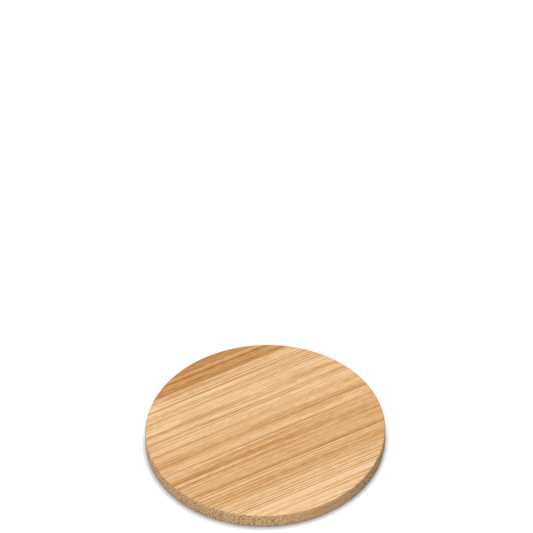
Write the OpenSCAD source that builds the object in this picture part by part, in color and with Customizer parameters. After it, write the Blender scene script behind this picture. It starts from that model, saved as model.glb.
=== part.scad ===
// Round flat coaster of side-pressed bamboo.
// Bamboo strips stand on edge, glued side to side into a board of a single ply.
// The board is cut to a disc, and both arrises of its rim are sanded round.
// The strips run along X, the underside lies at Z = 0 and Z is the disc's axis.
// All sizes are in millimetres.

/* [Disc] */
// Diameter of the finished disc
disc_d = 98; // [80:1:130]
// Thickness of the finished disc
disc_t = 6; // [4:0.5:12]
// Radius sanded on the upper and lower arris of the rim
arris_r = 0.5; // [0.2:0.1:1.5]

/* [Board] */
// Widest that a bamboo strip may be across the face
strip_w = 5.9; // [4:0.1:12]
// Thickness of the cured glue between two strips
glue_t = 0.1; // [0.06:0.02:0.3]

/* [Hidden] */
$fn = 180;
// How far the board is left larger than the disc before the disc is cut out
overrun = 1;
disc_r = disc_d / 2;

// The fewest strips that span the disc, with one of them on its middle, are planed
// alike and share its width evenly. None is wider than strip_w or a sliver at the rim.
side_count = ceil((disc_d / (strip_w + glue_t) - 1) / 2);
strip_count = 2 * side_count + 1;
strip_pitch = disc_d / strip_count;
planed_w = strip_pitch - glue_t;

// Split bamboo varies from pale straw to toasted honey, strip by strip.
strip_colours = ["#e4ba86", "#d6a568", "#ecc898", "#dcae74"];
glue_colour = "#b07f48";

// The two side faces of a strip. Strip 0 is the middle one, and the strips in front of
// it, towards -Y, count down from there. The outermost strips run past the rim.
function strip_low_y(i) =
  i == -side_count ? -disc_r - overrun : i * strip_pitch - planed_w / 2;
function strip_high_y(i) =
  i == side_count ? disc_r + overrun : i * strip_pitch + planed_w / 2;

// The strips in front of the middle one and behind it are named from the rim inwards.
function two_digits(number) = str(number < 10 ? "0" : "", number);
function strip_name(i) =
  i == 0 ? "middle_strip"
  : str(i < 0 ? "front_strip_" : "back_strip_", two_digits(side_count + 1 - abs(i)));

all_strips = [-side_count : side_count];

// Half section of the disc: flat faces, straight wall and a quarter round at each arris
module disc_section() {
  flat_r = disc_r - arris_r;
  square([flat_r, disc_t]);
  translate([0, arris_r])
    square([disc_r, disc_t - 2 * arris_r]);
  for (arris_z = [arris_r, disc_t - arris_r])
    translate([flat_r, arris_z])
      circle(r = arris_r);
}

// What the disc takes out of one layer of the board
module cut_from_layer(low_y, high_y) {
  intersection() {
    rotate_extrude()
      disc_section();
    translate([-disc_r - overrun, low_y, -overrun])
      cube([disc_d + 2 * overrun, high_y - low_y, disc_t + 2 * overrun]);
  }
}

// One strip of bamboo, with its ends on the rim
module bamboo_strip(i) {
  color(strip_colours[(i + side_count) % len(strip_colours)])
    cut_from_layer(strip_low_y(i), strip_high_y(i));
}

// The cured films between the strips, flush with both faces and with the rim
module glue_lines() {
  color(glue_colour)
    for (i = [-side_count : side_count - 1])
      cut_from_layer(strip_high_y(i), strip_low_y(i + 1));
}

for (i = all_strips)
  bamboo_strip(i);
glue_lines();
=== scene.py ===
from math import cos, pi, radians, sin

import bmesh
import bpy
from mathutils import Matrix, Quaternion, Vector


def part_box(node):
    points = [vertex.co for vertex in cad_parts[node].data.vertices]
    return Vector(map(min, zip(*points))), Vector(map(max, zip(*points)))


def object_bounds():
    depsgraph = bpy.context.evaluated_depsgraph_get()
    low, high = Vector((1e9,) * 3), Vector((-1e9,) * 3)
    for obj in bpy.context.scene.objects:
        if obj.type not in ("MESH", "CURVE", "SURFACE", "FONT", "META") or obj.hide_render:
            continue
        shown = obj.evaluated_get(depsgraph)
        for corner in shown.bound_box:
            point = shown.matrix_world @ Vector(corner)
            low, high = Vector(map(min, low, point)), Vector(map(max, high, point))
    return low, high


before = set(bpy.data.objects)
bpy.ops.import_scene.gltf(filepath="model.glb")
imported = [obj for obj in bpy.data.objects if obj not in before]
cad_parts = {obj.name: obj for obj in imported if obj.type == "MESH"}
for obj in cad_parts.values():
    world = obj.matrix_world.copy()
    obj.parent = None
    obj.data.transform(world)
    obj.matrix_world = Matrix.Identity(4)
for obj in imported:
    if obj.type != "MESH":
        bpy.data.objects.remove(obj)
cad_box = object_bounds()

# Bamboo strips
# Seventeen strips of split bamboo, planed square and stood on edge, so that the face shows the
# thickness of the culm wall: dense and brown towards its skin, open and pale towards its pith.
# They are glued side to side, cut to a disc, sanded, and rubbed with one thin coat of satin oil.

# From the front rim to the back one: how toasted a strip is, and which way its skin faced
lay_up = (
    ("front_strip_01", "straw", "front"),
    ("front_strip_02", "pale", "front"),
    ("front_strip_03", "light", "back"),
    ("front_strip_04", "honey", "back"),
    ("front_strip_05", "honey", "front"),
    ("front_strip_06", "amber", "front"),
    ("front_strip_07", "amber", "back"),
    ("front_strip_08", "honey", "front"),
    ("middle_strip", "honey", "back"),
    ("back_strip_08", "honey", "front"),
    ("back_strip_07", "pale", "front"),
    ("back_strip_06", "light", "back"),
    ("back_strip_05", "light", "back"),
    ("back_strip_04", "light", "front"),
    ("back_strip_03", "wheat", "back"),
    ("back_strip_02", "toast", "front"),
    ("back_strip_01", "toast", "back"),
)
toast_of = {
    "straw": 0.1,
    "pale": 0.21,
    "light": 0.3,
    "wheat": 0.38,
    "honey": 0.46,
    "amber": 0.55,
    "toast": 0.79,
}
skin_sign_of = {"back": 1, "front": -1}
millimetres_per_metre = 1000

# Each strip has a draw of its own, which sets its noise apart from that of the other strips.
# What runs on from strip to strip has one draw for all of them.
draw_step = 7.3
shared_draw = 0.0
noise_low = 0.25
noise_high = 0.75
noise_middle = (0.5, 0.5, 0.5)
noise_roughness = 0.55


def paint(hex_colour):
    """A colour as it looks on a screen, turned into the linear light that a shader takes."""
    channels = [int(hex_colour[i : i + 2], 16) / 255 for i in (1, 3, 5)]
    light = [c / 12.92 if c <= 0.04045 else ((c + 0.055) / 1.055) ** 2.4 for c in channels]
    return (*light, 1)


def add_node(tree, kind, inputs=None, **settings):
    """Adds a node, sets it up, and feeds its sockets with values or other nodes' outputs."""
    made = tree.nodes.new(kind)
    for name, value in settings.items():
        setattr(made, name, value)
    for name, value in (inputs or {}).items():
        if isinstance(value, bpy.types.NodeSocket):
            tree.links.new(value, made.inputs[name])
        else:
            made.inputs[name].default_value = value
    return made


def calculate(tree, operation, *values):
    inputs = dict(enumerate(values))
    return add_node(tree, "ShaderNodeMath", inputs, operation=operation).outputs[0]


def total(tree, *values):
    result = values[0]
    for value in values[1:]:
        result = calculate(tree, "ADD", result, value)
    return result


def product(tree, *values):
    result = values[0]
    for value in values[1:]:
        result = calculate(tree, "MULTIPLY", result, value)
    return result


def place_of(tree, along, across, up):
    return add_node(tree, "ShaderNodeCombineXYZ", {"X": along, "Y": across, "Z": up}).outputs[0]


def parts_of(tree, place):
    return add_node(tree, "ShaderNodeSeparateXYZ", {0: place}).outputs


def on_vectors(tree, operation, first, second):
    inputs = {0: first, 1: second}
    return add_node(tree, "ShaderNodeVectorMath", inputs, operation=operation).outputs[0]


def eased(tree, value, start, end):
    """Rises gently from 0 to 1 as a value goes from start to end."""
    inputs = {"Value": value, "From Min": start, "From Max": end}
    return add_node(tree, "ShaderNodeMapRange", inputs, interpolation_type="SMOOTHSTEP").outputs[0]


def swing(tree, noise, reach):
    """Noise between 0 and 1, turned into a swing either way by about reach."""
    inputs = {
        "Value": noise,
        "From Min": noise_low,
        "From Max": noise_high,
        "To Min": -reach,
        "To Max": reach,
    }
    return add_node(tree, "ShaderNodeMapRange", inputs, clamp=False).outputs[0]


def mixed(tree, share, first, second):
    """A colour between two others."""
    inputs = {0: share, 6: first, 7: second}
    return add_node(tree, "ShaderNodeMix", inputs, data_type="RGBA").outputs[2]


def in_patches(tree, place, patch):
    """Counts a place in patches: their length along the grain, width and height, in millimetres."""
    return on_vectors(tree, "DIVIDE", place, patch)


def patchy(tree, place, patch, draw, detail=1):
    """Noise in patches of about one size."""
    inputs = {
        "Vector": in_patches(tree, place, patch),
        "W": draw,
        "Scale": 1,
        "Detail": detail,
        "Roughness": noise_roughness,
    }
    return add_node(tree, "ShaderNodeTexNoise", inputs, noise_dimensions="4D").outputs


def strayed(tree, place, patch, draw, reach):
    """A place that noise has moved, by up to about half of its reach either way."""
    stray = on_vectors(tree, "SUBTRACT", patchy(tree, place, patch, draw)["Color"], noise_middle)
    return on_vectors(tree, "ADD", place, on_vectors(tree, "MULTIPLY", stray, reach))


# A surface is a flat face, end grain where it cuts across the fibres, or else side grain on the
# rim. The sander burnishes the round arrises, and the end grain fades out there. The values are
# how far the surface faces up or down, and how far it faces along the grain.
flat_from = 0.85
flat_to = 0.995
end_from = 0.08
end_to = 0.55
burnish_from = 0.4
burnish_to = 0.85


def flat_and_end(tree, normal):
    """How far a surface is a flat face, and how far it is end grain."""
    along, _, up = parts_of(tree, normal)
    level = calculate(tree, "ABSOLUTE", up)
    flat = eased(tree, level, flat_from, flat_to)
    cut_across = eased(tree, calculate(tree, "ABSOLUTE", along), end_from, end_to)
    return flat, product(tree, cut_across, eased(tree, level, burnish_to, burnish_from))


# Fibre bundles stand in staggered rows. Towards the skin the rows close up and the bundles are
# thinner. Each is a sheath of dark fibres with a frayed edge round a vessel. A bundle's radius is
# a share of the gaps, and it loses the taper share with each millimetre towards the skin.
bundle_gap_across = 1.12
bundle_gap_up = 1.35
bundle_crowding = 0.03
bundle_disorder = 0.42
bundle_draw_shift = 3.1
least_bundle_share = 0.38
bundle_spread_share = 0.1
bundle_taper_share = 0.02
sheath_core_share = 0.5
vessel_share = 0.42
vessel_core_share = 0.15
fray_patch = (6, 0.3, 0.3)
fray_reach = (0, 0.3, 0.3)


def fibre_bundles(tree, grown, draw):
    """How far a place is in a bundle's sheath and in its vessel, and how dark that bundle is."""
    _, to_skin, up = parts_of(tree, strayed(tree, grown, fray_patch, draw, fray_reach))
    crowding = product(tree, to_skin, to_skin, bundle_crowding)
    row_place = calculate(tree, "DIVIDE", total(tree, to_skin, crowding), bundle_gap_across)
    row = calculate(tree, "DIVIDE", up, bundle_gap_up)
    rising = total(tree, row, row_place, product(tree, draw, bundle_draw_shift))
    falling = total(tree, calculate(tree, "SUBTRACT", row, row_place), draw)
    inputs = {
        "Vector": place_of(tree, rising, falling, 0),
        "Scale": 1,
        "Randomness": bundle_disorder,
    }
    cells = add_node(tree, "ShaderNodeTexVoronoi", inputs, voronoi_dimensions="2D").outputs
    size, darkness, _ = parts_of(tree, cells["Color"])
    spread = product(tree, size, bundle_spread_share)
    taper = product(tree, to_skin, -bundle_taper_share)
    radius = total(tree, spread, taper, least_bundle_share)
    sheath_core = product(tree, radius, sheath_core_share)
    vessel_edge = product(tree, radius, vessel_share)
    vessel_core = product(tree, radius, vessel_core_share)
    sheath = eased(tree, cells["Distance"], radius, sheath_core)
    vessel = eased(tree, cells["Distance"], vessel_edge, vessel_core)
    return sheath, vessel, darkness


# The ground tissue round the bundles is browner towards the skin, on the flat faces most of all in
# its last part. Its tone swings in bands and streaks, in strands that the plane laid open, and in
# short flecks. A heavily toasted strip goes past the tone of plain skin and is scorched in places.
lean_to_skin = 0.08
rind_start = 0.4
rind = 0.2
band_patch = (170, 2, 2)
band_swing = 0.03
streak_patch = (83, 0.71, 0.71)
streak_swing = 0.11
streak_draw = 2.7
fleck_patch = (3.3, 0.45, 0.45)
fleck_swing = 0.24
fleck_draw = 5.1
fleck_detail = 2
strand_patch = (83, 0.33, 0.33)
strand_swing = 0.13
strand_share_on_rim = 0.5
pith_colour = "#fdd9ac"
ground_colour = "#e5b47d"
ground_tone = 0.5
skin_colour = "#bf8547"
skin_tone = 1
scorched_colour = "#a0702f"
scorched_tone = 1.4


def ground_tissue(tree, grown, draw, share_to_skin, flat):
    """How much browner than the strip the tissue is at a place, and its streaks and flecks."""
    lean = product(tree, share_to_skin, lean_to_skin)
    last_part = product(tree, eased(tree, share_to_skin, rind_start, 1), flat, rind)
    band = swing(tree, patchy(tree, grown, band_patch, draw)["Fac"], band_swing)
    streak_noise = patchy(tree, grown, streak_patch, total(tree, draw, streak_draw))["Fac"]
    streak = swing(tree, streak_noise, streak_swing)
    drawn = total(tree, draw, fleck_draw)
    fleck_noise = patchy(tree, grown, fleck_patch, drawn, fleck_detail)["Fac"]
    fleck = swing(tree, fleck_noise, fleck_swing)
    return total(tree, lean, last_part, band, streak, fleck), streak, fleck


def single_strands(tree, grown, draw, flat):
    """The tone of single long fibres. The sander blurs them on the rim."""
    shift = place_of(tree, draw, 0, draw)
    place = on_vectors(tree, "ADD", in_patches(tree, grown, strand_patch), shift)
    strands = add_node(tree, "ShaderNodeTexVoronoi", {"Vector": place, "Scale": 1}).outputs
    strand = swing(tree, parts_of(tree, strands["Color"])[0], strand_swing)
    clear_share = total(tree, product(tree, flat, 1 - strand_share_on_rim), strand_share_on_rim)
    return product(tree, strand, clear_share)


def tissue_colour(tree, tone):
    """The colour of ground tissue, from the pale pith by way of the skin to scorched."""
    share = calculate(tree, "DIVIDE", tone, scorched_tone)
    ramp = add_node(tree, "ShaderNodeValToRGB", {"Fac": share})
    stops = ramp.color_ramp.elements
    stops[0].color = paint(pith_colour)
    stops[1].color = paint(scorched_colour)
    stops.new(ground_tone / scorched_tone).color = paint(ground_colour)
    stops.new(skin_tone / scorched_tone).color = paint(skin_colour)
    return ramp.outputs["Color"]


# Along the grain, bundles are lines darker than the tissue that they lie in, and on a flat face
# their vessels are hair lines where they are cut open. The rim is darker than the faces, partly
# from the oil that it took up and partly as painted shade on the rim and its arrises.
sheath_colour = "#c07c38"
sheath_tint = (0.7, 0.58, 0.44)
sheath_on_face = 0.95
sheath_on_rim = 0.5
vessel_colour = "#aa6628"
vessel_on_face = 0.35
rim_oil_and_shade_tint = (0.91, 0.82, 0.71)


def grain_lines(tree, tissue, sheath, vessel, darkness, flat):
    """The colour of a flat face or of side grain."""
    sheath_share = total(tree, product(tree, flat, sheath_on_face - sheath_on_rim), sheath_on_rim)
    sheath_line = product(tree, sheath, darkness, sheath_share)
    vessel_line = product(tree, vessel, darkness, flat, vessel_on_face)
    tinted = on_vectors(tree, "MULTIPLY", tissue, sheath_tint)
    fibres = on_vectors(tree, "MINIMUM", tinted, paint(sheath_colour)[:3])
    lined = mixed(tree, sheath_line, tissue, fibres)
    lined = mixed(tree, vessel_line, lined, paint(vessel_colour))
    # Painted shade: the rim and its arrises are tinted darker and browner, on top of the oil's own
    # tone.
    oiled_and_shaded = on_vectors(tree, "MULTIPLY", lined, rim_oil_and_shade_tint)
    return mixed(tree, flat, oiled_and_shaded, lined)


# At the ends of the fibres, bundles are dots that soaked up more of the oil than the pale tissue
# round them, each with a pore in its middle. In some patches of the rim all of them are strong,
# and elsewhere only the dark ones are.
end_tissue_colour = "#e9ca9b"
end_tissue_share = 0.75
end_sheath_colour = "#944a1b"
end_vessel_colour = "#6c3412"
vessel_on_end = 0.5
least_dot_share = 0.55
strong_patch = (50, 7, 5)
strong_from = 0.3
strong_to = 0.7


def grain_dots(tree, tissue, sheath, vessel, darkness, on_disc):
    """The colour of end grain."""
    pale = mixed(tree, end_tissue_share, tissue, paint(end_tissue_colour))
    strong_noise = patchy(tree, on_disc, strong_patch, shared_draw)["Fac"]
    strong = eased(tree, strong_noise, strong_from, strong_to)
    strength = calculate(tree, "MAXIMUM", darkness, strong)
    dot_share = total(tree, product(tree, strength, 1 - least_dot_share), least_dot_share)
    dotted = mixed(tree, product(tree, sheath, dot_share), pale, paint(end_sheath_colour))
    pore = product(tree, vessel, dot_share, vessel_on_end)
    return mixed(tree, pore, dotted, paint(end_vessel_colour))


# A culm doesn't grow dead straight, so its fibres drift across a strip and up and down. The sander
# left fine lines round the rim, and the oil is duller on streaks and where the ends drank it.
drift_patch = (70, 10, 10)
drift_reach = (0, 0.9, 1.8)
sanding_patch = (25, 25, 0.12)
sanding_swing = 0.06
oil_roughness = 0.5
streak_roughness = 0.5
end_roughness = 0.15
sheath_rise = 0.5
vessel_sink = 0.7


def bamboo_growth():
    """The solid pattern within any strip: its colour, its roughness and the height of its relief."""
    tree = bpy.data.node_groups.new("bamboo_growth", "ShaderNodeTree")
    for name in ("Middle", "Half width", "Skin side", "Toast", "Draw"):
        tree.interface.new_socket(name, in_out="INPUT", socket_type="NodeSocketFloat")
    for name, kind in (("Colour", "Color"), ("Roughness", "Float"), ("Height", "Float")):
        tree.interface.new_socket(name, in_out="OUTPUT", socket_type="NodeSocket" + kind)
    strip = tree.nodes.new("NodeGroupInput").outputs
    draw = strip["Draw"]
    surface = tree.nodes.new("ShaderNodeTexCoord").outputs
    flat, end = flat_and_end(tree, surface["Normal"])

    # Place in millimetres: on the disc, and along the strip, from its middle to its skin, and up
    on_disc = on_vectors(tree, "MULTIPLY", surface["Object"], (millimetres_per_metre,) * 3)
    x, y, z = parts_of(tree, on_disc)
    to_skin = product(tree, calculate(tree, "SUBTRACT", y, strip["Middle"]), strip["Skin side"])
    share_to_skin = calculate(tree, "DIVIDE", to_skin, strip["Half width"])
    grown = strayed(tree, place_of(tree, x, to_skin, z), drift_patch, draw, drift_reach)

    sheath, vessel, darkness = fibre_bundles(tree, grown, draw)
    browner, streak, fleck = ground_tissue(tree, grown, draw, share_to_skin, flat)
    strand = single_strands(tree, grown, draw, flat)
    sanding = swing(tree, patchy(tree, on_disc, sanding_patch, draw)["Fac"], sanding_swing)
    sanding = product(tree, sanding, calculate(tree, "SUBTRACT", 1, flat))
    tissue = tissue_colour(tree, total(tree, strip["Toast"], browner, strand, sanding))
    lines = grain_lines(tree, tissue, sheath, vessel, darkness, flat)
    dots = grain_dots(tree, tissue, sheath, vessel, darkness, on_disc)

    duller_streak = product(tree, streak, streak_roughness)
    duller_end = product(tree, end, end_roughness)
    rise = product(tree, sheath, sheath_rise)
    sink = product(tree, vessel, -vessel_sink)
    result = tree.nodes.new("NodeGroupOutput").inputs
    tree.links.new(mixed(tree, end, lines, dots), result["Colour"])
    tree.links.new(total(tree, oil_roughness, duller_streak, duller_end), result["Roughness"])
    tree.links.new(total(tree, rise, sink, streak, fleck, sanding), result["Height"])
    return tree


relief_height = 0.00002
relief_strength = 0.1
oil_gloss = 0.12


def bamboo(name, growth, values):
    """The oiled bamboo of one strip."""
    material = bpy.data.materials.new(name)
    material.use_nodes = True
    tree = material.node_tree
    grain = add_node(tree, "ShaderNodeGroup", values, node_tree=growth).outputs
    relief = {"Height": grain["Height"], "Distance": relief_height, "Strength": relief_strength}
    shader = tree.nodes["Principled BSDF"].inputs
    shader["Specular IOR Level"].default_value = oil_gloss
    tree.links.new(grain["Colour"], shader["Base Color"])
    tree.links.new(grain["Roughness"], shader["Roughness"])
    tree.links.new(add_node(tree, "ShaderNodeBump", relief).outputs["Normal"], shader["Normal"])
    return material


growth = bamboo_growth()
for number, (name, toast, skin) in enumerate(lay_up):
    low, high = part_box(name)
    values = {
        "Middle": (low.y + high.y) / 2 * millimetres_per_metre,
        "Half width": (high.y - low.y) / 2 * millimetres_per_metre,
        "Skin side": skin_sign_of[skin],
        "Toast": toast_of[toast],
        "Draw": number * draw_step,
    }
    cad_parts[name].material_slots[0].material = bamboo("bamboo_" + name, growth, values)

# Glue lines
# Films of amber adhesive, a tenth of a millimetre thick, that were squeezed out between the
# strips in the press, cured hard and were sanded flush with both faces and the rim.
thick_glue_colour = "#b98a52"
starved_glue_colour = "#d2a36a"
squeeze_patch = (20, 3.3, 3.3)
squeeze_detail = 2
starved_from = 0.35
starved_to = 0.65
glue_roughness = 0.45
glue_gloss = 0.3

glue = bpy.data.materials.new("cured_glue")
glue.use_nodes = True
tree = glue.node_tree
surface = tree.nodes.new("ShaderNodeTexCoord").outputs
place = on_vectors(tree, "MULTIPLY", surface["Object"], (millimetres_per_metre,) * 3)
squeeze = patchy(tree, place, squeeze_patch, shared_draw, squeeze_detail)["Fac"]
starved = eased(tree, squeeze, starved_from, starved_to)
film = mixed(tree, starved, paint(thick_glue_colour), paint(starved_glue_colour))
shader = tree.nodes["Principled BSDF"].inputs
shader["Roughness"].default_value = glue_roughness
shader["Specular IOR Level"].default_value = glue_gloss
tree.links.new(film, shader["Base Color"])
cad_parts["glue_lines"].material_slots[0].material = glue

# A plain white card that the disc lies on, with painted shade where the disc stands close over
# it, on top of the shadow that the lamps cast. It is open under the disc and clear from below, so
# that the underside can be looked at too.
low, high = cad_box
disc_radius = (high.x - low.x) / 2
tuck_under_disc = 0.0004
opening_radius = disc_radius - tuck_under_disc
floor_radius = 6.0
floor_sides = 96
floor_colour = (0.43, 0.43, 0.43, 1)
seen_floor_colour = (1.11, 1.16, 1.21)
painted_shadow_reach = 0.003
painted_shadow_share = 0.41

card = bmesh.new()
turns = [2 * pi * side / floor_sides for side in range(floor_sides)]
rings = []
for radius in (opening_radius, floor_radius):
    corners = [(radius * cos(turn), radius * sin(turn), low.z) for turn in turns]
    rings.append([card.verts.new(corner) for corner in corners])
inner, outer = rings
for side in range(floor_sides):
    following = (side + 1) % floor_sides
    card.faces.new((inner[side], outer[side], outer[following], inner[following]))
floor_mesh = bpy.data.meshes.new("floor")
card.to_mesh(floor_mesh)
card.free()
floor = bpy.data.objects.new("floor", floor_mesh)
bpy.context.scene.collection.objects.link(floor)


def seen_directly(tree):
    """1 for what the camera sees, by itself or in gloss or glass, and 0 for what gives light."""
    path = tree.nodes.new("ShaderNodeLightPath").outputs
    shiny = calculate(tree, "MAXIMUM", path["Is Glossy Ray"], path["Is Transmission Ray"])
    return calculate(tree, "MAXIMUM", path["Is Camera Ray"], shiny)


white_card = bpy.data.materials.new("white_card")
white_card.use_nodes = True
tree = white_card.node_tree
tree.nodes.clear()
# Painted contact shadow: the card's colour darkens where ambient occlusion finds the disc close
# above it.
openness = add_node(tree, "ShaderNodeAmbientOcclusion", {"Distance": painted_shadow_reach}).outputs["AO"]
painted_contact_shade = total(tree, product(tree, openness, painted_shadow_share), 1 - painted_shadow_share)
shade = place_of(tree, painted_contact_shade, painted_contact_shade, painted_contact_shade)
seen_card = on_vectors(tree, "MULTIPLY", seen_floor_colour, shade)
card_colour = mixed(tree, seen_directly(tree), floor_colour, seen_card)
card_front = add_node(tree, "ShaderNodeBsdfDiffuse", {"Color": card_colour}).outputs[0]
clear = tree.nodes.new("ShaderNodeBsdfTransparent").outputs[0]
from_below = tree.nodes.new("ShaderNodeNewGeometry").outputs["Backfacing"]
card_shader = add_node(tree, "ShaderNodeMixShader", {0: from_below, 1: card_front, 2: clear})
add_node(tree, "ShaderNodeOutputMaterial", {"Surface": card_shader.outputs[0]})
floor_mesh.materials.append(white_card)

# Studio light
# A pale, slightly cool room gives the even light. A wide overhead lamp stands behind the disc, a
# low one in front of it on the left, and a third shines up through the opening in the floor.
room_level = 0.15
room_colour = (0.94, 1.0, 1.08, 1)
seen_room_level = 1
seen_room_colour = (1, 1, 1, 1)
camera_azimuth = radians(-28.1)

# Degrees to the right of the camera, degrees up, level, and degrees that the lamp spans
lamps = {
    "overhead_lamp": (170, 73, 0.75, 40),
    "left_lamp": (-26, 2, 0.8, 70),
    "lamp_below": (0, -80, 0.5, 40),
}


def direction(azimuth, elevation):
    """Where something stands, seen from the disc. Azimuth 0 is in front, towards -Y."""
    reach = cos(elevation)
    return Vector((sin(azimuth) * reach, -cos(azimuth) * reach, sin(elevation)))


for name, (turn, rise, level, span) in lamps.items():
    lamp = bpy.data.lights.new(name, "SUN")
    lamp.energy = level * pi
    lamp.angle = radians(span)
    stand = bpy.data.objects.new(name, lamp)
    towards = direction(camera_azimuth + radians(turn), radians(rise))
    stand.rotation_euler = towards.to_track_quat("Z", "Y").to_euler()
    bpy.context.scene.collection.objects.link(stand)

room = bpy.data.worlds.new("pale_room")
room.use_nodes = True
tree = room.node_tree
background = tree.nodes["Background"].inputs
seen = seen_directly(tree)
extra_when_seen = product(tree, seen, seen_room_level - room_level)
tree.links.new(total(tree, extra_when_seen, room_level), background["Strength"])
tree.links.new(mixed(tree, seen, room_colour, seen_room_colour), background["Color"])
bpy.context.scene.world = room
bpy.context.scene.view_settings.view_transform = "Standard"

# Camera
# A long lens looks half down at the disc, from in front of it and somewhat to the left. It aims
# above the disc, which leaves the disc low in a square picture, and it is tilted a little.
camera_elevation = radians(45.57)
camera_distance = 3.234
aim_height = 0.0929
aim_right = 0.0025
camera_tilt = radians(-1.68)
focal_length = 535.4

face_centre = Vector((0, 0, high.z))
to_camera = direction(camera_azimuth, camera_elevation)
rightwards = Vector((cos(camera_azimuth), sin(camera_azimuth), 0))
aim = face_centre + Vector((0, 0, aim_height)) + rightwards * aim_right
camera = bpy.data.objects.new("camera", bpy.data.cameras.new("camera"))
camera.data.lens = focal_length
camera.location = face_centre + to_camera * camera_distance
camera.rotation_mode = "QUATERNION"
level_aim = (aim - camera.location).to_track_quat("-Z", "Y")
camera.rotation_quaternion = level_aim @ Quaternion((0, 0, 1), camera_tilt)
bpy.context.scene.collection.objects.link(camera)
bpy.context.scene.camera = camera
